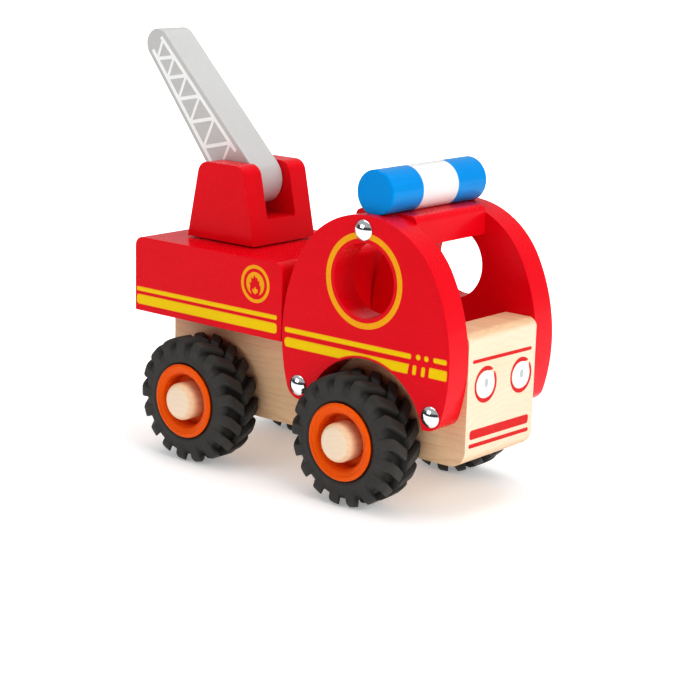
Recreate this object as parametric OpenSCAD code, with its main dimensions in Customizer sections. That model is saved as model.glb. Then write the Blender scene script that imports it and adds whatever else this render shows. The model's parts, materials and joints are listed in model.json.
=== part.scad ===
// Wooden toy fire engine with a swivelling, tilting ladder. Millimetres.
// +X is forward, +Y is the engine's left side, +Z is up, and it stands on z = 0.

/* [Wheels] */
// Outer diameter of a tyre over its lugs
tyre_d = 53.4; // [50:0.1:53.4]
// Width of a tyre
tyre_w = 19.1; // [18:0.1:20]
// Height of the lugs above the tread
lug_h = 3.1; // [2:0.1:3.2]
// Lugs on each half of the tread
lug_count = 17; // [10:1:18]
// Distance between the front and rear axles
wheelbase = 85.6; // [85:0.1:88]
// Diameter of an axle peg's shank
peg_d = 9; // [7:0.1:9.5]
// Diameter of an axle peg's head
peg_head_d = 15.8; // [13:0.1:17]

/* [Chassis] */
// Width of the chassis block
chassis_w = 45; // [44.6:0.1:45]
// Gap between the floor and the chassis block
ground_gap = 21; // [18:0.5:22]
// Height of the chassis block's long part
chassis_h = 38; // [37:0.5:39]
// Height of the nose above the chassis block's top
nose_rise = 15; // [10:0.5:18]
// Depth of the raised nose, front to back
nose_depth = 15.2; // [12:0.1:18]
// Front axle to the face of the nose
front_overhang = 46; // [45:0.1:47]
// Rear axle to the back of the chassis block
rear_overhang = 24.8; // [20:0.1:30]

/* [Cab] */
// Thickness of the cab panels and of the roof plank
board_t = 12; // [11:0.1:12.5]
// Half the length of a cab panel at its widest
panel_half = 41.9; // [41:0.1:42]
// Height of a panel's top edge above the floor
panel_top = 115.9; // [114:0.1:118]
// Height of a panel's bottom edge above the floor
panel_foot = 37; // [36:0.1:40]
// Diameter of the round side windows
window_d = 29.6; // [24:0.1:32]
// Width of the roof plank, front to back
plank_w = 30; // [26:0.5:34]

/* [Light bar] */
// Diameter of the light bar's dowel
bar_d = 18; // [16:0.1:20]
// Length of the light bar
bar_l = 61; // [50:0.5:66]

/* [Bed] */
// Length of the bed block
bed_l = 84; // [80:0.5:85]
// Height of the bed block
bed_h = 32; // [26:0.5:36]

/* [Turret and ladder] */
// Length of the turret fork at its foot
fork_foot = 38.5; // [36:0.1:42]
// Length of the turret fork at its top, before rounding
fork_top = 25; // [23:0.1:30]
// Width of the turret fork
fork_w = 38.4; // [34:0.1:42]
// Height of the turret fork
fork_h = 32.7; // [31:0.1:36]
// Width of the slot that holds the ladder
slot_w = 17.4; // [17.4:0.1:20]
// Thickness of the ladder arm
ladder_t = 16.8; // [14:0.1:16.8]
// Distance between the ladder's pivot and the centre of its round tip
ladder_l = 72; // [60:0.5:76]
// Radius of the ladder's pivot end
ladder_root_r = 10.9; // [9:0.1:11]
// Radius of the ladder's tip
ladder_tip_r = 6.7; // [5:0.1:8]
// Angle of the raised ladder above level
ladder_tilt = 48.4; // [10:0.1:90]

/* [Hidden] */
$fn = 96;
SIDES = [["right", -1], ["left", 1]];
CORNERS = [["front_right", 0, -1], ["front_left", 0, 1], ["rear_right", 1, -1], ["rear_left", 1, 1]];

// Clearances
run_gap = 0.07;          // radial clearance of a shaft in its bore
// Heights
axle_z = tyre_d / 2;
chassis_top = ground_gap + chassis_h;
nose_top = chassis_top + nose_rise;
bed_top = chassis_top + bed_h;
plank_top = panel_top;
plank_z = plank_top - board_t;
washer_t = 0.6;
slot_floor_h = 10.2;      // slot's floor above the fork's foot
pivot_h = 14.3;           // ladder's pivot above the slot's floor
fork_z = bed_top + washer_t;
slot_z = fork_z + slot_floor_h;
pivot_z = slot_z + pivot_h;
// Widths
chassis_y = chassis_w / 2;
body_y = chassis_y + board_t;
// Lengths, measured from the front axle
pivot_back = 88.1;        // back to the ladder's pivot
swivel_back = 87.2;       // back to the turret's swivel
panel_shift = 3.8;        // forward to the middle of the cab panels
bed_gap = 0.4;            // between the bed and the cab panels
bed_front = panel_shift - panel_half - bed_gap;
ladder_reach = pivot_back + ladder_l * cos(ladder_tilt) + ladder_tip_r;
// The origin is under the middle of the whole engine's box
front_x = (ladder_reach - front_overhang) / 2;
rear_x = front_x - wheelbase;
nose_x = front_x + front_overhang;
chassis_back = rear_x - rear_overhang;
bed_x = front_x + bed_front - bed_l;
panel_x = front_x + panel_shift;
swivel_x = front_x - swivel_back;
pivot_x = front_x - pivot_back;
bar_x = panel_x + 0.5;
bar_flat = 0.9;           // depth of the flat under the light bar
bar_z = plank_top + bar_d / 2 - bar_flat;
// Fasteners
nail_d = 2.8;
nail_l = 22;
nail_head_d = 8.6;
nail_head_h = 2.3;
roof_nail = [panel_x - 1.1, plank_z + 6];
rear_nail = [panel_x - 32.7, panel_foot + 5.9];
front_nail = [panel_x + 33.9, panel_foot + 5.9];
NAILS = [roof_nail, rear_nail, front_nail];
screw_d = 4;
pin_d = 5;
bed_dowel_d = 8;
bar_dowel_d = 6;
// Wheel profile: distances along the axle are measured from the engine's middle plane
side_gap = 0.6;           // between the chassis and a tyre
hub_gap = 0.5;            // between the chassis and a rim's hub
rim_proud = 1.2;          // rim's face beyond the tyre
dish_depth = 7.6;         // rim's face to the hub's face
peg_proud = 3;            // peg's face beyond the rim's face
peg_hold = 18;            // peg's depth in the chassis
seat_r = 15;              // tyre's seat on the rim
tyre_in = chassis_y + side_gap;
tyre_out = tyre_in + tyre_w;
tread_r = tyre_d / 2 - lug_h;
rim_face = tyre_out + rim_proud;
hub_floor = rim_face - dish_depth;
hub_in = chassis_y + hub_gap;
hub_r = peg_d / 2 + run_gap;
peg_in = chassis_y - peg_hold;
peg_face = rim_face + peg_proud;

// Points along an arc round c, from angle a0 to a1, both included
function arc(c, r, a0, a1, n = 8) =
    [for (i = [0:n]) let (a = a0 + (a1 - a0) * i / n) [c[0] + r * cos(a), c[1] + r * sin(a)]];

// Solid with the side outline points (x, z), between y0 and y1
module side_solid(points, y0, y1) {
    translate([0, y1, 0])
        rotate([90, 0, 0])
            linear_extrude(y1 - y0)
                polygon(points);
}

// Cylinder along Y through the side position p = [x, z]
module rod_y(p, y0, y1, r) {
    translate([p[0], y0, p[1]])
        rotate([-90, 0, 0])
            cylinder(h = y1 - y0, r = r);
}

// Vertical cylinder
module rod_z(x, y, z0, z1, r) {
    translate([x, y, z0])
        cylinder(h = z1 - z0, r = r);
}

// Turned solid about the Y axis: profile points are (radius, y), at side position p
module turned_y(p, points) {
    translate([p[0], 0, p[1]])
        rotate([-90, 0, 0])
            rotate_extrude()
                polygon(points);
}

// Mirrors its children to the right side when side is -1
module on_side(side) {
    if (side < 0)
        mirror([0, 1, 0])
            children();
    else
        children();
}

// ---------- Chassis ----------

module chassis_block() {
    r_low = 5;
    r_top = 4;
    r_back = 1;
    outline = concat(
        arc([nose_x - r_low, ground_gap + r_low], r_low, -90, 0),
        arc([nose_x - r_top, nose_top - r_top], r_top, 0, 90),
        [[nose_x - nose_depth, nose_top], [nose_x - nose_depth, chassis_top]],
        arc([chassis_back + r_back, chassis_top - r_back], r_back, 90, 180, 4),
        arc([chassis_back + r_back, ground_gap + r_back], r_back, 180, 270, 4)
    );
    color("burlywood")
    difference() {
        side_solid(outline, -chassis_y, chassis_y);
        for (side = [-1, 1])
            on_side(side) {
                for (x = [front_x, rear_x])
                    rod_y([x, axle_z], peg_in, chassis_y + 1, peg_d / 2);
                for (p = [rear_nail, front_nail])
                    rod_y(p, body_y - nail_l, chassis_y + 1, nail_d / 2);
            }
        for (x = bed_dowel_x())
            rod_z(x, 0, chassis_top - 14, chassis_top + 1, bed_dowel_d / 2);
    }
}

// ---------- Bed ----------

// Each dowel stands 14 mm in from the end of the shorter block there
function bed_dowel_x() = [chassis_back + 14, bed_x + bed_l - 14];

module bed_block() {
    r = 4;
    front = bed_x + bed_l;
    outline = concat(
        [[bed_x, chassis_top], [front, chassis_top]],
        arc([front - r, bed_top - r], r, 0, 90),
        arc([bed_x + r, bed_top - r], r, 90, 180)
    );
    color("firebrick")
    difference() {
        side_solid(outline, -body_y, body_y);
        for (x = bed_dowel_x())
            rod_z(x, 0, chassis_top - 1, chassis_top + 14, bed_dowel_d / 2);
        rod_z(swivel_x, 0, bed_top - 22, bed_top + 1, screw_d / 2);
    }
}

// Two hidden dowels between the chassis and the bed
module bed_dowels() {
    color("burlywood")
    for (x = bed_dowel_x())
        rod_z(x, 0, chassis_top - 14, chassis_top + 14, bed_dowel_d / 2);
}

// ---------- Cab ----------

// Outline of a panel without its wheel arch: a three-centred arch on a rounded foot
function panel_outline() =
    let (
        side_r = 70,
        side_z = 62.7,
        rise = 15,
        run = side_r - panel_half,
        top_r = side_r - sqrt(run * run + rise * rise),
        top_z = panel_top - top_r,
        turn = atan2(top_z - side_z, run),
        foot_r = 7,
        foot_z = panel_foot + foot_r,
        drop = side_z - foot_z,
        reach = side_r - foot_r,
        foot_run = sqrt(reach * reach - drop * drop),
        dip = atan2(drop, foot_run),
        foot_x = foot_run - run
    )
    concat(
        arc([panel_x + foot_x, foot_z], foot_r, -90, -dip, 8),
        arc([panel_x - run, side_z], side_r, -dip, turn, 16),
        arc([panel_x, top_z], top_r, turn + 4, 176 - turn, 24),
        arc([panel_x + run, side_z], side_r, 180 - turn, 180 + dip, 16),
        arc([panel_x - foot_x, foot_z], foot_r, 180 + dip, 270, 8)
    );

// One cab side, on the left: a board with a window and a wheel arch
module cab_panel(side) {
    arch_r = 29.3;
    tyre_gap = 0.7;
    color("red")
    on_side(side)
    difference() {
        side_solid(panel_outline(), chassis_y, body_y);
        rod_y([front_x + 3.4, 90.3], chassis_y - 1, body_y + 1, window_d / 2);
        rod_y([front_x + 5.2, 30.4], chassis_y - 1, body_y + 1, arch_r);
        rod_y([front_x, axle_z], chassis_y - 1, body_y + 1, tyre_d / 2 + tyre_gap);
        for (p = NAILS)
            rod_y(p, chassis_y - 1, body_y + 1, nail_d / 2);
    }
}

module roof_plank() {
    r = 3;
    x0 = panel_x - plank_w / 2;
    x1 = panel_x + plank_w / 2;
    outline = concat(
        [[x0, plank_z], [x1, plank_z]],
        arc([x1 - r, plank_top - r], r, 0, 90),
        arc([x0 + r, plank_top - r], r, 90, 180)
    );
    color("red")
    difference() {
        side_solid(outline, -chassis_y, chassis_y);
        for (side = [-1, 1])
            on_side(side)
                rod_y(roof_nail, body_y - nail_l, chassis_y + 1, nail_d / 2);
        for (y = bar_dowel_y())
            rod_z(bar_x, y, plank_top - 8, plank_top + 1, bar_dowel_d / 2);
    }
}

// Three dome-headed nails that hold one panel, on the left
module dome_nails(side) {
    // The dome is a cap of the sphere through its rim and its top
    half = nail_head_d / 2;
    sphere_r = (half * half + nail_head_h * nail_head_h) / (2 * nail_head_h);
    rim_angle = asin((sphere_r - nail_head_h) / sphere_r);
    dome = concat([[0, 0]], arc([0, nail_head_h - sphere_r], sphere_r, rim_angle, 90, 10));
    color("silver")
    on_side(side)
    for (p = NAILS) {
        translate([0, body_y, 0])
            turned_y(p, dome);
        rod_y(p, body_y - nail_l, body_y + 0.5, nail_d / 2);
    }
}

// ---------- Light bar ----------

function bar_dowel_y() = [-7, 7];

module light_bar() {
    c = 0.6;
    r = bar_d / 2;
    half = bar_l / 2;
    profile = [[0, -half], [r - c, -half], [r, c - half], [r, half - c], [r - c, half], [0, half]];
    color("dodgerblue")
    difference() {
        turned_y([bar_x, bar_z], profile);
        translate([bar_x - r, -half - 1, plank_top - r])
            cube([bar_d, bar_l + 2, r]);
        for (y = bar_dowel_y())
            rod_z(bar_x, y, plank_top - 1, plank_top + 9, bar_dowel_d / 2);
    }
}

// Two hidden dowels between the roof plank and the light bar
module light_bar_dowels() {
    color("burlywood")
    for (y = bar_dowel_y())
        rod_z(bar_x, y, plank_top - 8, plank_top + 9, bar_dowel_d / 2);
}

// ---------- Turret ----------

module turret_fork() {
    r = 5.5;
    rise = fork_h;
    lean = atan2((fork_foot - fork_top) / 2, rise);
    // Centre of each top corner's arc: r below the top and r inside the slanted end
    corner_x = fork_top / 2 + r * tan(lean) - r / cos(lean);
    top = fork_z + rise;
    outline = concat(
        [[swivel_x - fork_foot / 2, fork_z], [swivel_x + fork_foot / 2, fork_z]],
        arc([swivel_x + corner_x, top - r], r, lean, 90),
        arc([swivel_x - corner_x, top - r], r, 90, 180 - lean)
    );
    color("firebrick")
    difference() {
        side_solid(outline, -fork_w / 2, fork_w / 2);
        translate([swivel_x - fork_foot, -slot_w / 2, slot_z])
            cube([2 * fork_foot, slot_w, fork_h]);
        rod_z(swivel_x, 0, fork_z - 1, slot_z + 1, screw_d / 2 + run_gap);
        rod_y([pivot_x, pivot_z], pin_start(), fork_w / 2 + 1, pin_d / 2);
    }
}

// The pin's hole goes through the left arm and stops inside the right one
function pin_start() = 3 - fork_w / 2;

module turret_washer() {
    color("whitesmoke")
    difference() {
        rod_z(swivel_x, 0, bed_top, bed_top + washer_t, 7);
        rod_z(swivel_x, 0, bed_top - 1, fork_z + 1, screw_d / 2 + run_gap);
    }
}

// Pan-head screw from the floor of the slot into the bed
module turret_screw() {
    lift = 0.1;
    head_z = slot_z + lift;
    color("silver")
    union() {
        rod_z(swivel_x, 0, bed_top - 20, head_z + 0.5, screw_d / 2);
        rod_z(swivel_x, 0, head_z, head_z + 1.4, 3.8);
        rod_z(swivel_x, 0, head_z + 1.4, head_z + 2.2, 2.9);
    }
}

// ---------- Ladder ----------

// Side outline of the ladder arm, pointing back along -X from its pivot at [0, 0]
function ladder_outline() =
    let (taper = asin((ladder_root_r - ladder_tip_r) / ladder_l))
    concat(
        arc([0, 0], ladder_root_r, taper - 90, 90 - taper, 24),
        arc([-ladder_l, 0], ladder_tip_r, 90 - taper, 270 + taper, 20)
    );

module ladder_arm() {
    color("lightgray")
    translate([pivot_x, 0, pivot_z])
    rotate([0, ladder_tilt, 0])
    difference() {
        side_solid(ladder_outline(), -ladder_t / 2, ladder_t / 2);
        rod_y([0, 0], -ladder_t, ladder_t, pin_d / 2 + run_gap);
    }
}

module ladder_pin() {
    color("burlywood")
    rod_y([pivot_x, pivot_z], pin_start(), fork_w / 2, pin_d / 2);
}

// ---------- Wheels ----------

function wheel_at(c) = [c[1] == 0 ? front_x : rear_x, axle_z];

// Round body of a tyre: bore, sidewalls and the tread under the lugs
function carcass_profile() = [
    [seat_r, tyre_in + 0.7],
    [seat_r + 2, tyre_in],
    [tread_r - 3, tyre_in],
    [tread_r - 0.8, tyre_in + 1],
    [tread_r, tyre_in + 3],
    [tread_r, tyre_out - 3],
    [tread_r - 0.8, tyre_out - 1],
    [tread_r - 3, tyre_out - 0.4],
    [seat_r + 4, tyre_out],
    [seat_r + 1.5, tyre_out - 0.2],
    [seat_r, tyre_out - 0.5]
];

// Space that the lugs fill, rounded at the shoulders
function lug_profile() =
    let (
        shoulder_r = 3.6,
        centre_r = tyre_d / 2 - shoulder_r,
        inset = shoulder_r + 0.2
    )
    concat(
        [[seat_r + 4, tyre_in + 0.4]],
        arc([centre_r, tyre_in + inset], shoulder_r, -70, 0, 5),
        arc([centre_r, tyre_out - inset], shoulder_r, 0, 70, 5),
        [[seat_r + 4, tyre_out - 0.4]]
    );

// Bars of one half of the tread, slanted, before they are cut to the shoulders
module lug_bars(middle, direction, phase) {
    slant = 45;
    bar_w = 3.2;
    bar_end = tyre_w / 2 / cos(slant) + 2;
    for (i = [0:lug_count - 1])
        rotate([0, (i + phase) * 360 / lug_count, 0])
            translate([0, middle, 0])
                rotate([0, 0, direction * slant])
                    translate([-bar_w / 2, direction > 0 ? 0 : -bar_end, tread_r - 3.5])
                        cube([bar_w, bar_end, 3.5 + lug_h + 1]);
}

module tyre(c) {
    middle = (tyre_in + tyre_out) / 2;
    color("dimgray")
    on_side(c[2])
    translate([wheel_at(c)[0], 0, axle_z])
    union() {
        turned_y([0, 0], carcass_profile());
        intersection() {
            turned_y([0, 0], lug_profile());
            union() {
                lug_bars(middle, 1, 0);
                lug_bars(middle, -1, 0.5);
            }
        }
    }
}

// Plastic rim: dished face, seat for the tyre, and a hub that runs on the peg
module rim(c) {
    web_t = 2;
    lip_r = 15.8;
    profile = [
        [hub_r, hub_in],
        [8, hub_in],
        [8.6, hub_floor - web_t],
        [12, hub_floor - web_t],
        [13, tyre_in + 0.2],
        [seat_r, tyre_in + 0.2],
        [seat_r, tyre_out - 0.5],
        [lip_r - 0.6, tyre_out + 0.1],
        [lip_r, tyre_out + 0.7],
        [lip_r - 0.4, rim_face - 0.5],
        [lip_r - 1.4, rim_face],
        [lip_r - 2.8, rim_face],
        [lip_r - 4, rim_face - 0.6],
        [11.2, rim_face - 2.4],
        [10.8, hub_floor],
        [hub_r, hub_floor]
    ];
    color("darkorange")
    on_side(c[2])
        turned_y(wheel_at(c), profile);
}

// Turned peg that a wheel runs on, pressed into the chassis
module axle_peg(corner) {
    edge = 2.4;
    head_r = peg_head_d / 2;
    head_in = hub_floor + 0.4;
    shank_r = peg_d / 2;
    c = 0.8;
    profile = concat(
        [[0, peg_in], [shank_r - c, peg_in], [shank_r, peg_in + c], [shank_r, head_in], [head_r, head_in]],
        arc([head_r - edge, peg_face - edge], edge, 0, 90, 6),
        [[0, peg_face]]
    );
    color("wheat")
    on_side(corner[2])
        turned_y(wheel_at(corner), profile);
}

chassis_block();
bed_block();
bed_dowels();
roof_plank();
light_bar();
light_bar_dowels();
turret_fork();
turret_washer();
turret_screw();
ladder_arm();
ladder_pin();
for (s = SIDES) {
    cab_panel(s[1]);
    dome_nails(s[1]);
}
for (c = CORNERS) {
    tyre(c);
    rim(c);
    axle_peg(c);
}
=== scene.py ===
"""Looks of the wooden toy fire engine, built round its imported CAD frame.

The wooden blocks are copied from their CAD nodes, welded and given softened edges.
Tyres, rims, pegs and nails are built here, and stand for their CAD nodes.
Prints are thin films of ink on the wood. Lengths are in millimetres until a mesh is made.
"""
import json
import math

import bmesh
import bpy
from mathutils import Matrix, Vector
from mathutils.geometry import tessellate_polygon


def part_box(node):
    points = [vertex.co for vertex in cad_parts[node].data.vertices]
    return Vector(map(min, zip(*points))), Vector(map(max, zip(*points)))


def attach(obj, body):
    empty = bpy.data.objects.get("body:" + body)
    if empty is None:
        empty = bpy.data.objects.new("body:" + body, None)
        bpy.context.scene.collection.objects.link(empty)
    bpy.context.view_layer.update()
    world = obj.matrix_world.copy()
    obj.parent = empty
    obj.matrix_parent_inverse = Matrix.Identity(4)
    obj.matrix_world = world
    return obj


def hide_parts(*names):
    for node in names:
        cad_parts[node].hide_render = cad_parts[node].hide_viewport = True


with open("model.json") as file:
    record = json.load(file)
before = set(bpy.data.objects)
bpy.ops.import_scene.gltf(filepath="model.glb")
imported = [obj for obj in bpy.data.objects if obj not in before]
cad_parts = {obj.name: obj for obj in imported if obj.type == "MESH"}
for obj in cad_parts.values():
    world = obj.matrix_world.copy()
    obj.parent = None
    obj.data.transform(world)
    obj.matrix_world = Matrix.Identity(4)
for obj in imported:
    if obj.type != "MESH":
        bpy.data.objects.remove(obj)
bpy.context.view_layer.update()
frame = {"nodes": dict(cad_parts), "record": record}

MM = 0.001
SIDES = {"right": -1, "left": 1}
CORNERS = ("front_right", "front_left", "rear_right", "rear_left")


# ---------- Material building ----------


class Nodes:
    """Builds a node tree. An input is a number, a colour or another node's output."""

    def __init__(self, tree):
        self.tree = tree
        tree.nodes.clear()

    def node(self, kind, **settings):
        made = self.tree.nodes.new(kind)
        for key, value in settings.items():
            setattr(made, key, value)
        return made

    def feed(self, node, inputs):
        for key, value in inputs.items():
            socket = node.inputs[key]
            if isinstance(value, bpy.types.NodeSocket):
                self.tree.links.new(value, socket)
            elif socket.type == "RGBA" and len(value) == 3:
                socket.default_value = (*value, 1)
            else:
                socket.default_value = value
        return node

    def math(self, operation, *values, clamp=False):
        node = self.node("ShaderNodeMath", operation=operation, use_clamp=clamp)
        return self.feed(node, dict(enumerate(values))).outputs[0]

    def length(self, *parts):
        """The length of a vector with two parts."""
        squares = [self.math("POWER", part, 2) for part in parts]
        return self.math("SQRT", self.math("ADD", *squares))

    def range(self, value, low, high, to_low=0, to_high=1):
        """Maps low..high onto to_low..to_high, and holds the end values outside it."""
        node = self.node("ShaderNodeMapRange")
        return self.feed(node, {0: value, 1: low, 2: high, 3: to_low, 4: to_high}).outputs[0]

    def part(self, vector, name):
        """One part of a vector: X, Y or Z."""
        return self.feed(self.node("ShaderNodeSeparateXYZ"), {0: vector}).outputs[name]


class Surface(Nodes):
    """A material on one Principled shader, in the object's own coordinates."""

    def __init__(self, name):
        self.material = bpy.data.materials.new(name)
        self.material.use_nodes = True
        super().__init__(self.material.node_tree)
        self.shader = self.node("ShaderNodeBsdfPrincipled")
        output = self.node("ShaderNodeOutputMaterial")
        self.feed(output, {"Surface": self.shader.outputs[0]})
        self.place = self.node("ShaderNodeTexCoord").outputs["Object"]

    def set(self, **inputs):
        """Sets the shader's own sockets. Underscores stand for spaces."""
        self.feed(self.shader, {k.replace("_", " "): v for k, v in inputs.items()})
        return self

    def scaled(self, x, y=None, z=None):
        """The object's own coordinates, in units of 1/x, 1/y and 1/z millimetres."""
        y = x if y is None else y
        z = x if z is None else z
        node = self.feed(self.node("ShaderNodeMapping"), {"Vector": self.place})
        node.inputs["Scale"].default_value = (x / MM, y / MM, z / MM)
        return node.outputs[0]

    def noise(self, vector, detail, roughness):
        node = self.node("ShaderNodeTexNoise")
        inputs = {"Vector": vector, "Scale": 1, "Detail": detail, "Roughness": roughness}
        return self.feed(node, inputs).outputs["Fac"]

    def mix(self, factor, low, high):
        node = self.node("ShaderNodeMix", data_type="RGBA")
        self.feed(node, {0: factor, 6: low, 7: high})
        return node.outputs[2]

    def bump(self, height, strength, depth_mm, normal=None):
        node = self.node("ShaderNodeBump")
        self.feed(node, {"Height": height, "Strength": strength, "Distance": depth_mm * MM})
        if normal is not None:
            self.feed(node, {"Normal": normal})
        return node.outputs[0]

    def axis(self, name):
        """The object's own coordinate along one axis, in millimetres."""
        return self.math("DIVIDE", self.part(self.place, name), MM)

    def facing(self, name):
        """How far the surface faces along one axis, from 0 to 1."""
        normal = self.node("ShaderNodeNewGeometry").outputs["Normal"]
        return self.math("ABSOLUTE", self.part(normal, name))


def grain_stretch(along, fine, long):
    """Noise scales for fibres that run along one axis."""
    return [long if axis == along else fine for axis in "XYZ"]


def wood(name, pale, dark, along="X", heart=(0.0, 9.0, -58.0), ring=3.1, gloss=0.42):
    """Bare wood under a clear matt lacquer: growth rings, fibres and pores. heart is a point on
    the tree's middle line, which runs along the same axis as the fibres, and ring is the width
    of one year. Both are in millimetres."""
    s = Surface(name)
    fibres = s.noise(s.scaled(*grain_stretch(along, 1.6, 0.035)), 4, 0.6)
    pores = s.noise(s.scaled(*grain_stretch(along, 3.4, 0.16)), 2, 0.5)
    cloud = s.noise(s.scaled(0.03), 2, 0.5)
    drift = s.noise(s.scaled(*grain_stretch(along, 0.045, 0.012)), 2, 0.5)
    # Distance from the heart line, wandering a little, gives the rings
    centre = dict(zip("XYZ", heart))
    across = [axis for axis in "XYZ" if axis != along]
    radius = s.length(*[s.math("SUBTRACT", s.axis(a), centre[a]) for a in across])
    radius = s.math("ADD", radius, s.range(drift, 0, 1, -9, 9))
    phase = s.math("FRACT", s.math("DIVIDE", radius, ring))
    late = s.math("POWER", phase, 3.5)
    streaks = s.math("ADD", s.math("MULTIPLY", late, 0.5), s.range(fibres, 0.35, 0.75, 0, 0.55))
    tone = s.math("MULTIPLY", streaks, s.range(cloud, 0.25, 0.75, 0.45, 1.0), clamp=True)
    colour = s.mix(tone, pale, dark)
    pore = s.range(pores, 0.30, 0.36, 1, 0)
    colour = s.mix(s.math("MULTIPLY", pore, 0.30), colour, [c * 0.55 for c in dark])
    # End grain is paler and less streaky
    ends = s.range(s.facing(along), 0.75, 0.98)
    figure = s.math("ADD", s.math("MULTIPLY", late, 0.3), s.range(cloud, 0.35, 0.75, 0, 0.45))
    end_colour = s.mix(figure, [c ** 0.6 for c in pale], pale)
    colour = s.mix(ends, colour, end_colour)
    rough = s.range(fibres, 0.3, 0.7, gloss, gloss + 0.14)
    height = s.math("ADD", s.math("MULTIPLY", fibres, 0.7), s.math("MULTIPLY", pores, 0.5))
    s.set(Base_Color=colour, Roughness=rough, Specular_IOR_Level=0.35)
    s.set(Normal=s.bump(height, 0.22, 0.12), Coat_Weight=0.12, Coat_Roughness=0.32)
    return s.material


def lacquer(
    name, colour, deep, tint, rough=0.22, specular=0.26, coat=0.10, grain=0.10, along="X"
):
    """Sprayed lacquer on wood: wood grain shows through it, with orange peel and a few nicks."""
    s = Surface(name)
    cloud = s.noise(s.scaled(0.05), 2, 0.5)
    fibres = s.noise(s.scaled(*grain_stretch(along, 1.1, 0.05)), 3, 0.6)
    peel = s.noise(s.scaled(0.8), 2, 0.5)
    speck = s.noise(s.scaled(2.6), 2, 0.6)
    nick = s.range(s.noise(s.scaled(0.22), 4, 0.75), 0.795, 0.81)
    tone = s.math("ADD", s.range(cloud, 0.3, 0.7, 0, 0.5), s.range(fibres, 0.35, 0.7, 0, 0.5))
    paint = s.mix(tone, colour, deep)
    paint = s.mix(s.math("MULTIPLY", nick, 0.6), paint, [c * 0.25 for c in deep])
    # The end grain soaks up paint, so it stays a little rougher
    ends = s.range(s.facing(along), 0.7, 0.98)
    texture = s.math("ADD", s.math("MULTIPLY", speck, 0.10), s.math("MULTIPLY", fibres, 0.55))
    texture = s.math("SUBTRACT", texture, s.math("MULTIPLY", nick, 0.6))
    fine = s.bump(texture, grain, 0.10)
    roughness = s.range(peel, 0.3, 0.7, rough, rough + 0.06)
    roughness = s.math("ADD", roughness, s.math("MULTIPLY", ends, 0.08))
    s.set(Base_Color=paint, Roughness=roughness, Specular_IOR_Level=specular, Specular_Tint=tint)
    s.set(Coat_Weight=coat, Coat_Roughness=0.08, Coat_IOR=1.4)
    normal = s.bump(peel, 0.06, 0.10, fine)
    s.set(Normal=normal, Coat_Normal=s.bump(peel, 0.06, 0.08))
    return s


def ink(name, colour, deep, rough=0.30, tint=(1, 1, 1)):
    """Pad-printed ink: even, slightly mottled, with the lacquer's peel under it."""
    s = Surface(name)
    mottle = s.noise(s.scaled(0.9), 4, 0.6)
    peel = s.noise(s.scaled(0.55), 2, 0.5)
    s.set(Base_Color=s.mix(s.range(mottle, 0.35, 0.7), colour, deep))
    s.set(Roughness=s.range(mottle, 0.3, 0.7, rough, rough + 0.1))
    s.set(Specular_IOR_Level=0.3, Specular_Tint=tint)
    s.set(Normal=s.bump(peel, 0.10, 0.16))
    return s.material


def light_bar_paint():
    """Blue lacquer with a white band painted round the middle of the dowel."""
    band_half = 11.3  # half of the white band's width
    s = lacquer(
        "light_bar_lacquer", (0.0, 0.29, 0.74), (0.0, 0.25, 0.67), (0.02, 0.5, 0.9),
        rough=0.2, specular=0.3, coat=0.1, grain=0.16, along="Y",
    )
    blue = s.shader.inputs["Base Color"].links[0].from_socket
    wobble = s.range(s.noise(s.scaled(0.5), 2, 0.5), 0, 1, -0.25, 0.25)
    edge = s.math("ADD", s.math("ABSOLUTE", s.axis("Y")), wobble)
    band = s.range(edge, band_half + 0.12, band_half - 0.12)
    mottle = s.noise(s.scaled(0.3), 3, 0.5)
    white = s.mix(mottle, (0.86, 0.86, 0.85), (0.78, 0.78, 0.77))
    s.set(Base_Color=s.mix(band, blue, white))
    return s.material


def rubber():
    s = Surface("tyre_rubber")
    cloud = s.noise(s.scaled(0.12), 3, 0.6)
    fine = s.noise(s.scaled(3.2), 3, 0.65)
    dust = s.noise(s.scaled(0.5), 4, 0.7)
    base = s.mix(s.range(cloud, 0.3, 0.7), (0.034, 0.033, 0.030), (0.047, 0.046, 0.042))
    base = s.mix(s.math("MULTIPLY", s.range(dust, 0.55, 0.75), 0.2), base, (0.06, 0.058, 0.056))
    # Painted shade: the floors of the grooves, below the tops of the lugs, are darkened towards black
    radius = s.length(s.axis("X"), s.axis("Z"))
    across = s.math("ABSOLUTE", s.axis("Y"))
    groove_shade = s.math("MULTIPLY", s.range(radius, 25.4, 23.8), s.range(across, 9.0, 7.0))
    base = s.mix(s.math("MULTIPLY", groove_shade, 0.75), base, (0.007, 0.007, 0.006))
    s.set(Base_Color=base, Roughness=s.range(fine, 0.3, 0.7, 0.48, 0.64), Specular_IOR_Level=0.34)
    s.set(Normal=s.bump(s.math("ADD", fine, s.math("MULTIPLY", dust, 0.6)), 0.18, 0.10))
    return s.material


def rim_plastic():
    s = Surface("rim_plastic")
    cloud = s.noise(s.scaled(0.1), 2, 0.5)
    flow = s.noise(s.scaled(0.5, 0.12, 0.5), 3, 0.55)
    grit = s.noise(s.scaled(3.0), 2, 0.5)
    s.set(Base_Color=s.mix(cloud, (0.88, 0.125, 0.006), (0.80, 0.095, 0.004)))
    s.set(Roughness=s.range(flow, 0.3, 0.7, 0.3, 0.4))
    s.set(Specular_IOR_Level=0.4, Specular_Tint=(1.0, 0.42, 0.12))
    s.set(Normal=s.bump(grit, 0.08, 0.05, s.bump(flow, 0.12, 0.2)))
    s.set(Subsurface_Weight=0.08, Subsurface_Scale=0.002)
    return s.material


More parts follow.
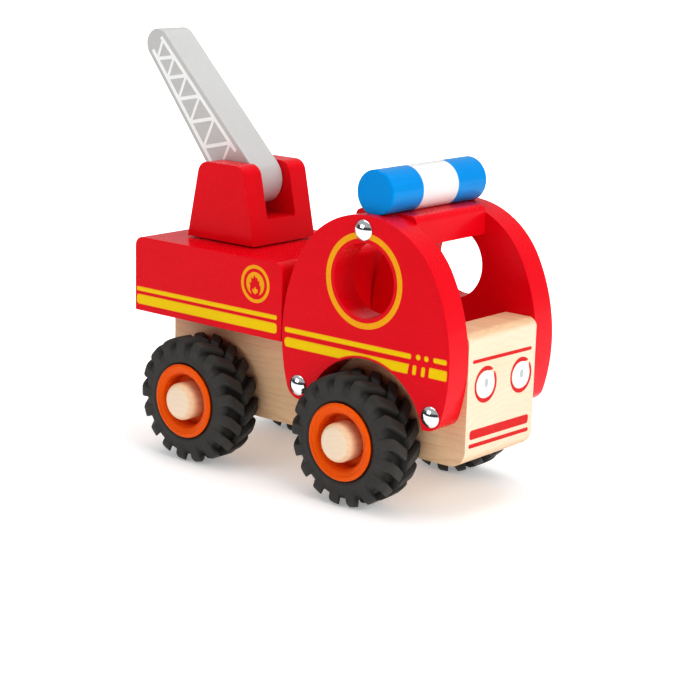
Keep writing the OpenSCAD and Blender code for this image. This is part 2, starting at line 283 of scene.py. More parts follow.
def metal(name, colour, rough, brushed):
    s = Surface(name)
    cloud = s.noise(s.scaled(0.3), 3, 0.6)
    lines = s.noise(s.scaled(0.6, 9, 0.6), 3, 0.6)
    s.set(Base_Color=s.mix(cloud, colour, [c * 0.93 for c in colour]), Metallic=1.0)
    s.set(Roughness=s.range(cloud, 0.3, 0.7, rough, rough + 0.05))
    s.set(Normal=s.bump(lines, brushed, 0.03))
    return s.material


def washer_plastic():
    s = Surface("washer_plastic")
    grit = s.noise(s.scaled(2.5), 3, 0.5)
    s.set(Base_Color=s.mix(grit, (0.75, 0.74, 0.71), (0.68, 0.67, 0.64)))
    s.set(Roughness=s.range(grit, 0, 1, 0.4, 0.55), Normal=s.bump(grit, 0.1, 0.05))
    return s.material


# Colours, as the shader takes them. A deep one is the darker end of a surface's mottling,
# and a gloss one tints the reflection that the surface has seen face on.
PALE_WOOD = (0.82, 0.58, 0.36)
DARK_WOOD = (0.63, 0.38, 0.19)
RED = (0.78, 0.0032, 0.0150)
DEEP_RED = (0.72, 0.0020, 0.0110)
RED_GLOSS = (1.0, 0.16, 0.20)
GREY = (0.57, 0.57, 0.56)
DEEP_GREY = (0.53, 0.53, 0.52)
YELLOW_GLOSS = (1.0, 0.8, 0.2)
RED_INK_GLOSS = (1.0, 0.45, 0.4)

materials = {
    "natural_wood": wood("natural_wood", PALE_WOOD, DARK_WOOD),
    "peg_wood": wood(
        "peg_wood", (0.86, 0.62, 0.40), (0.72, 0.47, 0.27),
        along="Y", heart=(7, 0, 31), ring=2.2, gloss=0.36,
    ),
    "dowel_wood": wood("dowel_wood", PALE_WOOD, DARK_WOOD, along="Z", heart=(3, 9, 0), ring=2.2),
    "red_lacquer": lacquer("red_lacquer", RED, DEEP_RED, RED_GLOSS).material,
    "grey_lacquer": lacquer(
        "grey_lacquer", GREY, DEEP_GREY, (1, 1, 1), rough=0.42, specular=0.3, coat=0.03
    ).material,
    "light_bar_lacquer": light_bar_paint(),
    "tyre_rubber": rubber(),
    "rim_plastic": rim_plastic(),
    "nail_chrome": metal("nail_chrome", (0.90, 0.91, 0.93), 0.07, 0.02),
    "screw_steel": metal("screw_steel", (0.60, 0.60, 0.60), 0.28, 0.2),
    "washer_plastic": washer_plastic(),
}
LEMON = ink("ink_lemon", (0.90, 0.615, 0.0), (0.86, 0.57, 0.0), tint=YELLOW_GLOSS)
AMBER = ink("ink_amber", (0.90, 0.42, 0.012), (0.84, 0.36, 0.010), tint=YELLOW_GLOSS)
WHITE = ink("ink_white", (0.92, 0.93, 0.92), (0.87, 0.88, 0.87))
INK_RED = ink("ink_red", (0.70, 0.012, 0.012), (0.60, 0.008, 0.008), 0.38, RED_INK_GLOSS)
INK_GREY = ink("ink_grey", (0.52, 0.57, 0.57), (0.46, 0.51, 0.51), 0.38)


# ---------- Mesh building ----------

FLAT = math.radians(0.6)  # faces that turn less than this are merged
SHARP = math.radians(30)  # edges that turn more than this are rounded
NEARLY_STRAIGHT = math.radians(176)
PRINT_ROOM = 0.12  # depth left for the prints in front of the nose
NOSE_FOOT_R = 5  # round of the CAD nose at its foot
NOSE_FOOT_WIDER = 1.5
FILM_SINK = 0.02  # how far a print's back lies inside the wood


def box_mm(node):
    """Lowest and highest corner of a CAD node, in millimetres."""
    return [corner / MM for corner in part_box(node)]


def body_of_node(node):
    bodies = frame["record"]["behaviour"]["bodies"]
    return next(body for body, nodes in bodies.items() if node in nodes)


def slot_of_node(node):
    return next(p["material_slot"] for p in frame["record"]["subparts"] if p["node"] == node)


def add_piece(name, mesh, material, body, replaces=(), place=(0, 0, 0)):
    """Links a mesh as a piece that rides on a CAD body."""
    piece = bpy.data.objects.new(name, mesh)
    piece.location = Vector(place) * MM
    bpy.context.scene.collection.objects.link(piece)
    mesh.materials.clear()
    mesh.materials.append(material)
    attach(piece, body)
    if replaces:
        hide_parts(*replaces)
    return piece


def mesh_mm(name, verts, faces, weld=0.0):
    """A smooth-shaded mesh from millimetre positions, with its faces turned outwards.
    Points that lie closer together than weld become one."""
    mesh = bpy.data.meshes.new(name)
    mesh.from_pydata([Vector(v) * MM for v in verts], [], faces)
    bm = bmesh.new()
    bm.from_mesh(mesh)
    if weld:
        bmesh.ops.remove_doubles(bm, verts=bm.verts, dist=weld * MM)
    bmesh.ops.recalc_face_normals(bm, faces=bm.faces)
    for face in bm.faces:
        face.smooth = True
    bm.to_mesh(mesh)
    bm.free()
    return mesh


def shape_nose(bm):
    """Widens the round at the nose's foot, by scaling it about the corner, and moves the
    face of the nose back, to leave room for the prints."""
    front = max(v.co.x for v in bm.verts)
    foot = min(v.co.z for v in bm.verts)
    reach = (NOSE_FOOT_R + 0.05) * MM
    for v in bm.verts:
        if v.co.x > front - reach and v.co.z < foot + reach:
            v.co.x = front + (v.co.x - front) * NOSE_FOOT_WIDER
            v.co.z = foot + (v.co.z - foot) * NOSE_FOOT_WIDER
        v.co.x = min(v.co.x, front - PRINT_ROOM * MM)


def soften_node(node, edge_mm, reshape=None):
    """Copies a CAD node, welds it, merges its flat faces and rounds its sharp edges."""
    bm = bmesh.new()
    bm.from_mesh(frame["nodes"][node].data)
    bmesh.ops.remove_doubles(bm, verts=bm.verts, dist=0.002 * MM)
    if reshape:
        reshape(bm)
    bmesh.ops.dissolve_limit(bm, angle_limit=FLAT, verts=bm.verts, edges=bm.edges)
    sharp = [e for e in bm.edges if e.is_manifold and e.calc_face_angle(0) > SHARP]
    bmesh.ops.bevel(
        bm,
        geom=sharp,
        offset=edge_mm * MM,
        segments=4,
        profile=0.5,
        affect="EDGES",
        clamp_overlap=True,
        miter_outer="ARC",
    )
    for face in bm.faces:
        face.smooth = True
    mesh = bpy.data.meshes.new(node + "_softened")
    bm.to_mesh(mesh)
    bm.free()
    slot = slot_of_node(node)
    piece = add_piece(node + "_look", mesh, materials[slot], body_of_node(node), [node])
    shading = piece.modifiers.new("flat faces stay flat", "WEIGHTED_NORMAL")
    shading.weight = 80
    shading.mode = "FACE_AREA"
    return piece


def rounded(points, radius, steps=5):
    """A closed outline with every corner replaced by an arc of up to the given radius."""
    points = [Vector(p) for p in points]
    made = []
    for i, point in enumerate(points):
        before = points[i - 1] - point
        after = points[(i + 1) % len(points)] - point
        angle = before.angle(after)
        if angle > NEARLY_STRAIGHT:
            made.append(point)
            continue
        reach = min(radius / math.tan(angle / 2), before.length * 0.46, after.length * 0.46)
        start = point + before.normalized() * reach
        end = point + after.normalized() * reach
        for k in range(steps + 1):
            t = k / steps
            made.append(start * (1 - t) ** 2 + point * 2 * t * (1 - t) + end * t * t)
    return made


def circle(centre, radius, count=72, start=0, sweep=360):
    """Points of a circle or an arc; an arc includes both its ends."""
    last = count if sweep == 360 else count - 1
    angles = [math.radians(start + sweep * i / last) for i in range(count)]
    return [Vector((centre[0] + radius * math.cos(a), centre[1] + radius * math.sin(a))) for a in angles]


def film(name, loops, to_place, material, body, depth=0.06):
    """A print: a thin closed film of ink, with its back a little inside the wood.
    Loops are an outline and its holes, and to_place(u, v, h) gives the point at height h
    above the printed face."""
    corners = [(p[0], p[1]) for loop in loops for p in loop]
    count = len(corners)
    triangles = tessellate_polygon([[Vector((p[0], p[1], 0)) for p in loop] for loop in loops])
    verts = [to_place(u, v, h) for h in (depth, -FILM_SINK) for u, v in corners]
    faces = [tuple(t) for t in triangles]
    faces += [tuple(i + count for i in reversed(t)) for t in triangles]
    start = 0
    for loop in loops:
        size = len(loop)
        for i in range(size):
            a, b = start + i, start + (i + 1) % size
            faces.append((a, b, b + count, a + count))
        start += size
    mesh = mesh_mm(name, verts, faces)
    mesh.shade_flat()
    return add_piece(name, mesh, material, body)


def lathe(profile, count, closed, warp=None):
    """Vertices and faces of a profile of (radius, y) points turned about the Y axis.
    warp(radius, y, angle) may move a point to a new (radius, y)."""
    verts, faces = [], []
    rows = len(profile)
    for j in range(count):
        angle = 2 * math.pi * j / count
        for radius, y in profile:
            r, h = warp(radius, y, angle) if warp else (radius, y)
            verts.append((r * math.sin(angle), h, r * math.cos(angle)))
    for j in range(count):
        here, there = j * rows, ((j + 1) % count) * rows
        for i in range(rows if closed else rows - 1):
            k = (i + 1) % rows
            faces.append((here + i, here + k, there + k, there + i))
    return verts, faces


def lathe_mesh(name, profile, count, closed=False, warp=None):
    return mesh_mm(name, *lathe(profile, count, closed, warp), weld=0.001)


def for_side(mesh, side):
    """Mirrors a mesh that is built for the left side, if it is for the right side."""
    if side < 0:
        mesh.transform(Matrix.Scale(-1, 4, Vector((0, 1, 0))))
        mesh.flip_normals()
    return mesh


# ---------- Wooden blocks ----------

# The radius of each block's edges, in millimetres
soften_node("chassis_block", 0.7, shape_nose)
for node, edge in {
    "bed_block": 0.8,
    "roof_plank": 0.8,
    "cab_panel_right": 1.0,
    "cab_panel_left": 1.0,
    "turret_fork": 1.7,
    "ladder_arm": 0.8,
    "light_bar": 0.35,
}.items():
    soften_node(node, edge)

# Pieces that hardly show keep their CAD shape
for node in ("bed_dowels", "light_bar_dowels", "turret_washer", "turret_screw", "ladder_pin"):
    slots = frame["nodes"][node].data.materials
    slots.clear()
    slots.append(materials[slot_of_node(node)])


# ---------- Wheels ----------

LUGS = 17
LUG_COLUMNS = 32  # columns of points for a lug and the gap after it
LUG_HEIGHT = 3.1
LUG_SLANT = 0.80  # how far a lug trails along the tread for each millimetre across it
SHOULDER_R = 3.4
TYRE_SEAT_R = 15.0
RIM_LIP_R = 15.8
RIM_RIBS = 44
HUB_R = 4.57  # the rim's bore
DISH_FLOOR_R = 10.0
DISH_DEPTH = 7.6  # from the rim's outer face to the floor of its dish
ROLLED = {"front": 10.2, "rear": 8.3}  # how far each axle's tyres have turned, in degrees


def tyre_rows(half_width, outer_r, seat_r):
    """Rows from the middle of the tread to the bead, for half of a tyre.
    Each row is (carcass radius, carcass y, lug radius, lug y, share of lug)."""
    w, r = half_width, outer_r
    base = r - LUG_HEIGHT
    rows = [
        (base, 0.0, r, 0.0, 0.0),
        (base, 0.2, r, 0.2, 0.0),
        (base, 0.35, r - 0.15, 0.45, 0.9),
        (base, 0.7, r, 0.8, 1.0),
    ]
    rows += [(base, y, r, y, 1.0) for y in (1.5, 2.4, 3.3, 4.2, 5.0)]
    # The lugs turn down round the shoulder and run out on the sidewall
    turn = SHOULDER_R
    for angle in (8, 20, 32, 44, 56, 68, 80):
        sin, cos = math.sin(math.radians(angle)), math.cos(math.radians(angle))
        low_r, low_y = base - turn * (1 - cos) * 0.85, w - 3.6 + (turn - 0.25) * sin
        rows.append((low_r, low_y, r - turn * (1 - cos), w - 3.4 + turn * sin, 1.0))
    rows += [
        (base - 3.3, w - 0.4, r - 4.3, w - 0.02, 1.0),
        (base - 3.8, w - 0.36, r - 5.2, w, 0.95),
        (base - 4.2, w - 0.3, r - 6.0, w - 0.02, 0.6),
        (base - 4.6, w - 0.22, base - 4.5, w - 0.14, 0.0),
    ]
    wall = [(base - 5.2, w - 0.12), (base - 5.7, w - 0.04), (base - 6.1, w)]
    wall += [(seat_r + 2.0, w), (seat_r + 1.4, w - 0.3), (seat_r + 0.6, w - 0.9), (seat_r, w - 1.7)]
    rows += [(radius, y, radius, y, 0.0) for radius, y in wall]
    return rows


def lug_share(column):
    """How much of a lug's height a column has, by its distance from the lug's middle."""
    away = abs((column + LUG_COLUMNS // 2) % LUG_COLUMNS - LUG_COLUMNS // 2)
    return {7: 0.98, 8: 0.92, 9: 0.10, 10: 0.02}.get(away, 1.0 if away < 7 else 0.0)


def tyre_mesh(name, side):
    """A tyre round the Y axis. Lugs slant back from the middle, and the halves are staggered."""
    low, high = box_mm("tyre_front_left")
    half_width, outer_r = (high.y - low.y) / 2, (high.z - low.z) / 2
    rows = tyre_rows(half_width, outer_r, TYRE_SEAT_R)
    count = LUGS * LUG_COLUMNS
    verts, faces = [], []
    for half, phase in ((side, 0), (-side, LUG_COLUMNS // 2)):
        first = len(verts)
        for j in range(count):
            share = lug_share(j + phase)
            for base_r, base_y, lug_r, lug_y, part in rows:
                t = share * part
                r = base_r + (lug_r - base_r) * t
                y = base_y + (lug_y - base_y) * t
                lean = LUG_SLANT * min(y, half_width - 1.4) / outer_r
                angle = 2 * math.pi * j / count - lean
                verts.append((r * math.sin(angle), half * y, r * math.cos(angle)))
        size = len(rows)
        for j in range(count):
            here, there = first + j * size, first + ((j + 1) % count) * size
            faces += [(here + i, here + i + 1, there + i + 1, there + i) for i in range(size - 1)]
    # The inside of the bore joins the two beads
    size, total = len(rows), count * len(rows)
    for j in range(count):
        a, b = j * size + size - 1, ((j + 1) % count) * size + size - 1
        faces.append((a, a + total, b + total, b))
    return mesh_mm(name, verts, faces, weld=0.001)


def rim_mesh(name, side):
    """A dished rim with a rolled lip, a step inside it and fine ribs down the dish."""
    low, high = box_mm("rim_front_left")
    tyre_low, tyre_high = box_mm("tyre_front_left")
    face, inner, floor = high.y, low.y, high.y - DISH_DEPTH
    lip_r, hub_r, seat_r, floor_r = RIM_LIP_R, HUB_R, TYRE_SEAT_R, DISH_FLOOR_R
    corners = [
        (hub_r, inner), (8, inner), (8.6, floor - 2), (12, floor - 2), (13, tyre_low.y + 0.3),
        (seat_r, tyre_low.y + 0.3), (seat_r, tyre_high.y - 1.0), (lip_r - 0.3, tyre_high.y - 0.2),
        (lip_r, face - 0.9), (lip_r - 0.9, face), (lip_r - 1.9, face - 0.1),
        (lip_r - 2.2, face - 0.45), (lip_r - 3.2, face - 0.65), (lip_r - 4.1, face - 1.3),
        (lip_r - 4.7, face - 2.8), (floor_r + 0.6, floor + 0.2), (floor_r, floor), (hub_r, floor),
    ]
    profile = [(p.x, p.y) for p in rounded(corners, 0.7, 4)]

    def ribs(radius, y, angle):
        in_dish = floor_r < radius < lip_r - 3.9 and floor + 0.1 < y < face - 1.4
        if not in_dish:
            return radius, y
        depth = min(1.0, (face - 1.4 - y) / 1.5)
        ridge = max(0.0, math.cos(angle * RIM_RIBS)) ** 2
        return radius - 0.3 * ridge * depth, y

    return for_side(lathe_mesh(name, profile, RIM_RIBS * 10, True, ribs), side)


def peg_mesh(name, side):
    """A turned wooden peg with a soft, slightly domed end."""
    low, high = box_mm("axle_peg_front_left")
    head_r = (high.z - low.z) / 2
    shank_r, start, end = 4.5, low.y, high.y
    head = box_mm("rim_front_left")[1].y - DISH_DEPTH + 0.4
    edge = 2.9  # round of the head's outer edge
    profile = [(0.001, start), (shank_r - 0.8, start), (shank_r, start + 0.8), (shank_r, head)]
    profile += [(head_r - 0.35, head), (head_r - 0.05, head + 0.5), (head_r, head + 1.6)]
    for i in range(13):
        a = math.radians(90 * i / 12)
        profile.append((head_r - edge + edge * math.cos(a), end - 0.3 - edge + edge * math.sin(a)))
    profile += [(head_r - edge - 1.4, end - 0.14), (2.4, end - 0.04), (1.2, end - 0.01), (0.001, end)]
    return for_side(lathe_mesh(name, profile, 96), side)


tyre_meshes = {side: tyre_mesh("tyre_" + name, side) for name, side in SIDES.items()}
rim_meshes = {side: rim_mesh("rim_" + name, side) for name, side in SIDES.items()}
peg_meshes = {side: peg_mesh("peg_" + name, side) for name, side in SIDES.items()}

for corner in CORNERS:
    axle_name, side_name = corner.split("_")
    side = SIDES[side_name]
    low, high = box_mm("tyre_" + corner)
    middle = (low + high) / 2
    axle = (middle.x, 0, middle.z)
    rolled = tyre_meshes[side].copy()
    rolled.transform(Matrix.Rotation(math.radians(ROLLED[axle_name]), 4, "Y"))
    for kind, mesh, slot, place in (
        ("tyre", rolled, "tyre_rubber", middle),
        ("rim", rim_meshes[side], "rim_plastic", axle),
        ("axle_peg", peg_meshes[side], "peg_wood", axle),
    ):
        node = f"{kind}_{corner}"
        add_piece(node + "_look", mesh, materials[slot], body_of_node(node), [node], place)


# ---------- Nails ----------

NAIL_HEAD_R = 4.3
NAIL_HEAD_H = 2.3
NAIL_RIM_H = 0.35  # height of the rolled rim, where the dome starts


def nail_profile(dome_steps=14):
    """(radius, y) points of a dome head that stands on y = 0."""
    rise = NAIL_HEAD_H - NAIL_RIM_H
    sphere = (NAIL_HEAD_R ** 2 + rise ** 2) / (2 * rise)
    half = math.asin(NAIL_HEAD_R / sphere)
    profile = [(0.001, 0), (NAIL_HEAD_R - 0.12, 0), (NAIL_HEAD_R, 0.12), (NAIL_HEAD_R, 0.26)]
    for i in range(1, dome_steps):
        a = half * (1 - i / dome_steps)
        profile.append((sphere * math.sin(a), NAIL_HEAD_H - sphere + sphere * math.cos(a)))
    return profile + [(0.001, NAIL_HEAD_H)]


def nail_centres(node, side, seat):
    """Middles of a panel's nail heads, as (x, z), from the CAD points above the panel's face."""
    points = [v.co / MM for v in frame["nodes"][node].data.vertices]
    groups = []
    for p in points:
        if not seat - 0.05 < p.y * side < seat + NAIL_HEAD_H:
            continue
        spot = (p.x, p.z)
        near = [g for g in groups if math.dist(g[0], spot) < 2 * NAIL_HEAD_R + 0.5]
        if near:
            near[0].append(spot)
        else:
            groups.append([spot])
    spans = [tuple(zip(*group)) for group in groups]
    return [((min(xs) + max(xs)) / 2, (min(zs) + max(zs)) / 2) for xs, zs in spans]


def nail_heads(name, side):
    """Three polished dome heads with a thin rolled rim, for one panel."""
    node = "dome_nails_" + name
    low, high = box_mm(node)
    seat = (high.y if side > 0 else -low.y) - NAIL_HEAD_H
    head_verts, head_faces = lathe(nail_profile(), 48, False)
    verts, faces = [], []
    for x, z in nail_centres(node, side, seat):
        first = len(verts)
        verts += [(vx + x, side * (vy + seat), vz + z) for vx, vy, vz in head_verts]
        faces += [tuple(i + first for i in face) for face in head_faces]
    mesh = mesh_mm(node, verts, faces, weld=0.002)
    chrome = materials["nail_chrome"]
    add_piece(node + "_look", mesh, chrome, body_of_node(node), [node])


for name, side in SIDES.items():
    nail_heads(name, side)


# ---------- Prints ----------

tyre_low, tyre_high = box_mm("tyre_front_left")
front_axle = (tyre_low.x + tyre_high.x) / 2
bed_low, bed_high = box_mm("bed_block")
nose_high = box_mm("chassis_block")[1]

# Heights of ink films that lie on each other
FIRST_INK, SECOND_INK, THIRD_INK = 0.05, 0.08, 0.11
FILL_INK = 0.09
INK_OUTLINE = 0.32  # width of the amber outline round lemon ink
NOSE_PRINT_TILT = 0.022  # the prints on the nose sit a little askew, as on the real toy

# Lower and upper edges of the stripes
BED_THIN, BED_THICK = (67.5, 69.5), (61.8, 66.2)
CAB_THIN, CAB_THICK = (63.6, 65.8), (57.7, 61.7)
CAB_STRIPE_REAR = -36.6  # from the front axle

# Middles of round prints and of the wheel arch: x from the front axle, and z
WINDOW = (3.4, 90.3)
BADGE = (-52.9, 80.6)
WHEEL_ARCH = (5.2, 30.4)
WHEEL_ARCH_R = 29.3


def on_side(side, face):
    """Places (x, z) points on the outer face of a side, at height h above it."""
    return lambda x, z, h: (x, side * (face + h), z)


def on_nose(y, z, h):
    """Places (y, z) points on the front face of the nose, which stays the foremost point."""
    return (nose_high.x - PRINT_ROOM + h, y, z - NOSE_PRINT_TILT * y)


def bar(x0, x1, z0, z1, radius, lean=0.0):
    """Outline of a bar with rounded corners. lean moves its top edge along x."""
    return rounded([(x0, z0), (x1, z0), (x1 + lean, z1), (x0 + lean, z1)], radius)


def two_tone(name, outline, place, body):
    """Lemon ink with a thin amber outline: an amber film, and a smaller lemon one on it."""
    film(name + "_edge", [outline], place, AMBER, body, FIRST_INK)
    film(name + "_fill", [inset(outline, INK_OUTLINE)], place, LEMON, body, FILL_INK)


def inset(points, distance):
    """A closed outline, anticlockwise, moved inwards."""
    moved = []
    count = len(points)
    for i, point in enumerate(points):
        along = points[(i + 1) % count] - points[i - 1]
        if along.length < 1e-6:
            moved.append(point)
            continue
        along.normalize()
        moved.append(point + Vector((-along.y, along.x)) * distance)
    return moved


def arched_stripe(start, foot, rest, arch_r, steps=60):
    """Outline of the thick stripe on the cab. The wheel arch, at radius arch_r, cuts into its
    foot. Points are (x, z), with x from the stripe's rear end."""
    (x0, z), (x1, _) = foot
    points = [start] + [(x0 + (x1 - x0) * i / steps, z) for i in range(steps + 1)] + rest
    centre_x, centre_z = WHEEL_ARCH
    outline = []
    for x, z in points:
        x += CAB_STRIPE_REAR
        reach = arch_r ** 2 - (x - centre_x) ** 2
        arch = centre_z + math.sqrt(reach) if reach > 0 else z
        outline.append(Vector((front_axle + x, max(z, arch))))
    return outline


def bed_prints(name, place, body):
    """Two stripes along the bed, and a round badge with a plain flame."""
    x0, x1 = bed_low.x + 0.9, bed_high.x - 2.3
    two_tone(f"print_bed_thin_{name}", bar(x0, x1, *BED_THIN, 0.9), place, body)
    two_tone(f"print_bed_thick_{name}", bar(x0, x1, *BED_THICK, 1.6), place, body)
    badge = Vector((front_axle + BADGE[0], BADGE[1]))
    ring = [circle(badge, 7.8, 96), circle(badge, 6.35, 96)]
    film(f"print_badge_ring_{name}", ring, place, AMBER, body)
    # The disc is cut off straight at its foot
    disc = circle(badge, 4.9, 60, -62, 304)
    film(f"print_badge_disc_{name}", [disc], place, AMBER, body, FIRST_INK)
    flame = [
        (-1.9, -4.4), (-2.9, -2.6), (-2.7, -0.9), (-3.4, 0.6), (-2.2, 0.0), (-2.1, 1.5),
        (-2.6, 2.6), (-1.2, 1.9), (-0.6, 3.9), (0.3, 2.3), (1.0, 3.0), (1.4, 1.2),
        (2.2, 1.6), (2.3, -0.2), (3.0, -0.9), (2.9, -2.7), (2.0, -4.4),
    ]
    ember = [
        (-1.5, -3.1), (-1.4, -1.9), (-0.7, -2.4), (0.1, -1.0),
        (0.7, -2.3), (1.4, -1.9), (1.5, -3.2), (0.0, -4.3),
    ]
    red = materials["red_lacquer"]
    flame = [badge + p for p in rounded(flame, 0.35)]
    ember = [badge + p for p in rounded(ember, 0.3)]
    film(f"print_badge_flame_{name}", [flame], place, red, body, SECOND_INK)
    film(f"print_badge_ember_{name}", [ember], place, AMBER, body, THIRD_INK)


def cab_prints(name, place, body):
    """Two stripes that end in dots, dashes and a block, and an amber ring round the window."""
    rear, axle = front_axle + CAB_STRIPE_REAR, front_axle
    low, high = CAB_THICK
    two_tone(f"print_cab_thin_{name}", bar(rear, axle + 27.7, *CAB_THIN, 0.9), place, body)
    rear_end = [(63.5, high), (1.4, high), (0.4, 61.2), (0, 60.4), (0, 59.0)]
    outer = arched_stripe((0.3, 58.2), [(1, 57.6), (62.6, 57.6)], rear_end, WHEEL_ARCH_R + 0.9)
    film(f"print_cab_thick_{name}_edge", [outer], place, AMBER, body, FIRST_INK)
    rear_end = [(63.0, 61.35), (1.5, 61.35), (0.7, 61.0), (0.35, 60.3), (0.35, 59.1)]
    inner = arched_stripe((0.8, 58.3), [(1.2, 57.95), (62.8, 57.95)], rear_end, WHEEL_ARCH_R + 1.2)
    film(f"print_cab_thick_{name}_fill", [inner], place, LEMON, body, FILL_INK)
    for i, x in enumerate((31.0, 34.9)):
        two_tone(f"print_cab_dot{i}_{name}", circle((axle + x, 65.0), 1.15, 28), place, body)
    dash = bar(axle + 38.1, axle + 44.6, 64.1, 66.2, 1.0)
    two_tone(f"print_cab_dash_{name}", dash, place, body)
    for i, x in enumerate((28.2, 32.4)):
        slash = bar(axle + x, axle + x + 1.9, low, high, 0.9, 0.35)
        two_tone(f"print_cab_slash{i}_{name}", slash, place, body)
    x0, x1 = axle + 36.0, axle + 44.9
    block = rounded([(x0, 57.9), (x1 - 0.2, 57.9), (x1, 62.1), (x0 + 0.4, 62.1)], 0.8)
    two_tone(f"print_cab_block_{name}", block, place, body)
    window = (axle + WINDOW[0], WINDOW[1])
    ring = [circle(window, 18.9, 120), circle(window, 16.5, 120)]
    film(f"print_window_ring_{name}", ring, place, AMBER, body)


def lamp_stroke(centre, outer_r, steps=70):
    """A brush-like ring, fullest at the top and the foot, with a gap near the top on the
    engine's left."""
    outer, inner = [], []
    for i in range(steps + 1):
        angle = math.radians(52 + 346 * i / steps)
        fullness = 0.40 if i / steps < 0.8 else 0.16
        stroke = 1.40 + fullness * math.cos(2 * angle - math.pi)
        stroke *= min(1.0, 0.45 + i / 5, 0.45 + (steps - i) / 5)
        way = Vector((math.cos(angle), math.sin(angle)))
        outer.append(centre + way * outer_r)
        inner.append(centre + way * (outer_r - stroke))
    return outer + inner[::-1]


def nose_prints():
    """Lamps, a brow line and two bumper bars on the front of the nose."""
    body = body_of_node("chassis_block")
    film("print_nose_line", [bar(-19.6, 19.7, 62.0, 63.4, 0.6)], on_nose, INK_RED, body)
    film("print_bumper_bar", [bar(-20.1, 19.3, 31.9, 35.6, 1.4, 0.4)], on_nose, INK_RED, body)
    film("print_bumper_line", [bar(-20.2, 19.8, 28.5, 30.1, 0.75)], on_nose, INK_RED, body)
    for name, side in SIDES.items():
        centre = Vector((side * 11.9 + 1.2, 52.7))
        film(f"print_lamp_ring_{name}", [lamp_stroke(centre, 7.25)], on_nose, INK_RED, body)
        disc = circle(centre, 5.75, 60)
        film(f"print_lamp_disc_{name}", [disc], on_nose, WHITE, body, FIRST_INK)
        dot = [centre + Vector((0.4 + p.x * 0.85, 0.5 + p.y * 1.15)) for p in circle((0, 0), 1.5, 30)]
        film(f"print_lamp_dot_{name}", [dot], on_nose, INK_GREY, body, SECOND_INK)


def ladder_prints():
    """A white truss on both sides of the ladder arm, drawn along the arm from its pivot."""
    pin_low, pin_high = box_mm("ladder_pin")
    pivot = (pin_low + pin_high) / 2
    arm_low, arm_high = box_mm("ladder_arm")
    root_r, tip_r = 10.9, 6.7
    rail_in = 2.9  # from the arm's edge to the middle of a rail
    # The arm's box shows how far its tip is behind and above the pivot
    reach = Vector((arm_low.x + tip_r - pivot.x, arm_high.z - tip_r - pivot.z))
    length = reach.length
    along = reach.normalized()
    up = Vector((along.y, -along.x))

    def rail(l, sign):
        """A point on the middle of a rail. The rails follow the arm's taper."""
        return Vector((l, sign * (root_r + (tip_r - root_r) * l / length - rail_in)))

    def strip(start, end, width):
        way = (end - start).normalized()
        off = Vector((-way.y, way.x)) * width / 2
        return rounded([start - off, end - off, end + off, start + off], 0.45)

    near = root_r * 0.9
    lines = [
        strip(rail(near, -1), rail(length, -1), 1.65),
        strip(rail(near, 1), rail(length + 1.0, 1), 1.65),
    ]
    # Braces zigzag from the tip, and their spacing grows towards the pivot
    upper, gap = length - 0.6, 9.6
    while upper > near + 4:
        following = upper - gap
        foot = rail(upper - 0.42 * gap, -1)
        lines.append(strip(rail(upper, 1), foot, 1.25))
        if following > near - 2:
            lines.append(strip(foot, rail(following, 1), 1.55))
        upper, gap = following, gap * 1.085

    for name, side in SIDES.items():

        def place(l, n, h):
            spot = along * l + up * n
            return (pivot.x + spot.x, side * (arm_high.y + h), pivot.z + spot.y)

        for i, line in enumerate(lines):
            # Each line lies a hair above the last, so that no two faces coincide
            film(f"print_ladder_{i:02d}_{name}", [line], place, WHITE, "ladder", 0.05 + 0.003 * i)


for name, side in SIDES.items():
    place = on_side(side, bed_high.y)
    bed_prints(name, place, body_of_node("bed_block"))
    cab_prints(name, place, body_of_node("cab_panel_" + name))
nose_prints()
ladder_prints()


# ---------- Studio ----------


def floor_material():
    """Matt white paper that turns into a white sweep behind the engine and far from it."""
    s = Surface("studio_floor")
    cloud = s.noise(s.scaled(0.004), 2, 0.5)
    grit = s.noise(s.scaled(0.4), 3, 0.5)
    s.set(Base_Color=s.mix(cloud, (0.90, 0.90, 0.90), (0.88, 0.88, 0.88)))
    s.set(Roughness=s.range(grit, 0, 1, 0.6, 0.7))
    s.set(Normal=s.bump(grit, 0.02, 0.1), Specular_IOR_Level=0.2)
    # How far behind the engine a point lies, where the photograph looks at the front and right
    left = s.math("MULTIPLY", s.axis("Y"), 0.77)
    behind = s.math("SUBTRACT", left, s.math("MULTIPLY", s.axis("X"), 0.64))
    far = s.length(s.axis("X"), s.axis("Y"))
    glow = s.math("MAXIMUM", s.range(behind, 50, 700, 0.25, 1), s.range(far, 700, 1800))
    s.set(Emission_Color=(1, 1, 1), Emission_Strength=glow)
    return s.material


def add_floor(reach=9000):
    corners = [(-reach, -reach, 0), (reach, -reach, 0), (reach, reach, 0), (-reach, reach, 0)]
    mesh = mesh_mm("studio_floor", corners, [(0, 1, 2, 3)])
    floor = bpy.data.objects.new("studio_floor", mesh)
    bpy.context.scene.collection.objects.link(floor)
    mesh.materials.append(floor_material())


def add_area(name, size_mm, power, place_mm, target_mm, mirrored=True):
    """A soft light. One that is not mirrored leaves no highlight on glossy surfaces."""
    light = bpy.data.lights.new(name, "AREA")
    light.shape = "RECTANGLE"
    light.size, light.size_y = size_mm[0] * MM, size_mm[1] * MM
    light.energy = power
    lamp = bpy.data.objects.new(name, light)
    lamp.location = Vector(place_mm) * MM
    away = Vector(place_mm) - Vector(target_mm)
    lamp.rotation_euler = away.to_track_quat("Z", "Y").to_euler()
    lamp.visible_glossy = mirrored
    bpy.context.scene.collection.objects.link(lamp)


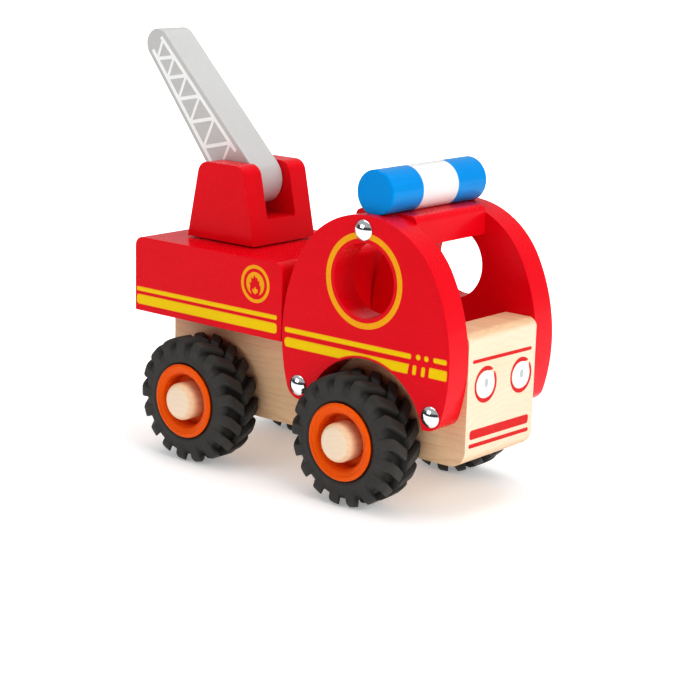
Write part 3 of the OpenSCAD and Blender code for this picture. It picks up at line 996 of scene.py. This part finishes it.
def add_world():
    """A white room whose light is dimmer low down on the engine's right-hand side, where the
    camera stands. The camera itself sees plain white."""
    world = bpy.data.worlds.new("studio")
    bpy.context.scene.world = world
    world.use_nodes = True
    room = Nodes(world.node_tree)
    where = room.node("ShaderNodeTexCoord").outputs["Generated"]
    right_side = room.range(room.part(where, "Y"), 0.1, -0.35)
    low_down = room.range(room.part(where, "Z"), 0.42, 0.30)
    bright, dim = 0.49, 0.07
    level = room.range(room.math("MULTIPLY", right_side, low_down), 0, 1, bright, dim)
    lit = room.feed(room.node("ShaderNodeBackground"), {"Strength": level})
    seen = room.node("ShaderNodeBackground")
    room.feed(seen, {"Color": (1, 1, 1), "Strength": 1.1})
    camera_ray = room.node("ShaderNodeLightPath").outputs["Is Camera Ray"]
    mix = room.node("ShaderNodeMixShader")
    room.feed(mix, {0: camera_ray, 1: lit.outputs[0], 2: seen.outputs[0]})
    output = room.node("ShaderNodeOutputWorld")
    room.feed(output, {"Surface": mix.outputs[0]})


def add_camera():
    """The photograph's view: from the engine's right and front, a little above it."""
    azimuth, elevation, roll = (math.radians(d) for d in (39.604, 13.681, 1.515))
    target = Vector((14.04, 0, 50.54)) * MM  # what the middle of the view looks at
    distance = 762.5 * MM
    level = Vector((math.sin(azimuth), -math.cos(azimuth), 0))
    back = level * math.cos(elevation) + Vector((0, 0, math.sin(elevation)))
    right = (-back).cross(Vector((0, 0, 1))).normalized()
    up = right.cross(-back)
    rolled_right = right * math.cos(roll) + up * math.sin(roll)
    rolled_up = up * math.cos(roll) - right * math.sin(roll)
    data = bpy.data.cameras.new("camera")
    data.sensor_width = 36
    data.lens = 94.29
    data.clip_start, data.clip_end = 0.01, 50
    camera = bpy.data.objects.new("camera", data)
    turn = Matrix((rolled_right, rolled_up, back)).transposed()
    camera.matrix_world = Matrix.Translation(target + back * distance) @ turn.to_4x4()
    bpy.context.scene.collection.objects.link(camera)
    bpy.context.scene.camera = camera


add_floor()
add_world()
add_area("top_softbox", (900, 900), 4.7, (-50, 100, 950), (0, 0, 40))
add_area("front_softbox", (500, 500), 3.1, (850, -150, 420), (40, 0, 50), mirrored=False)
add_area("side_softbox", (600, 400), 1.4, (-350, -900, 520), (0, 0, 50))
add_camera()
bpy.context.scene.view_settings.view_transform = "Standard"
bpy.context.scene.view_settings.look = "Medium High Contrast"
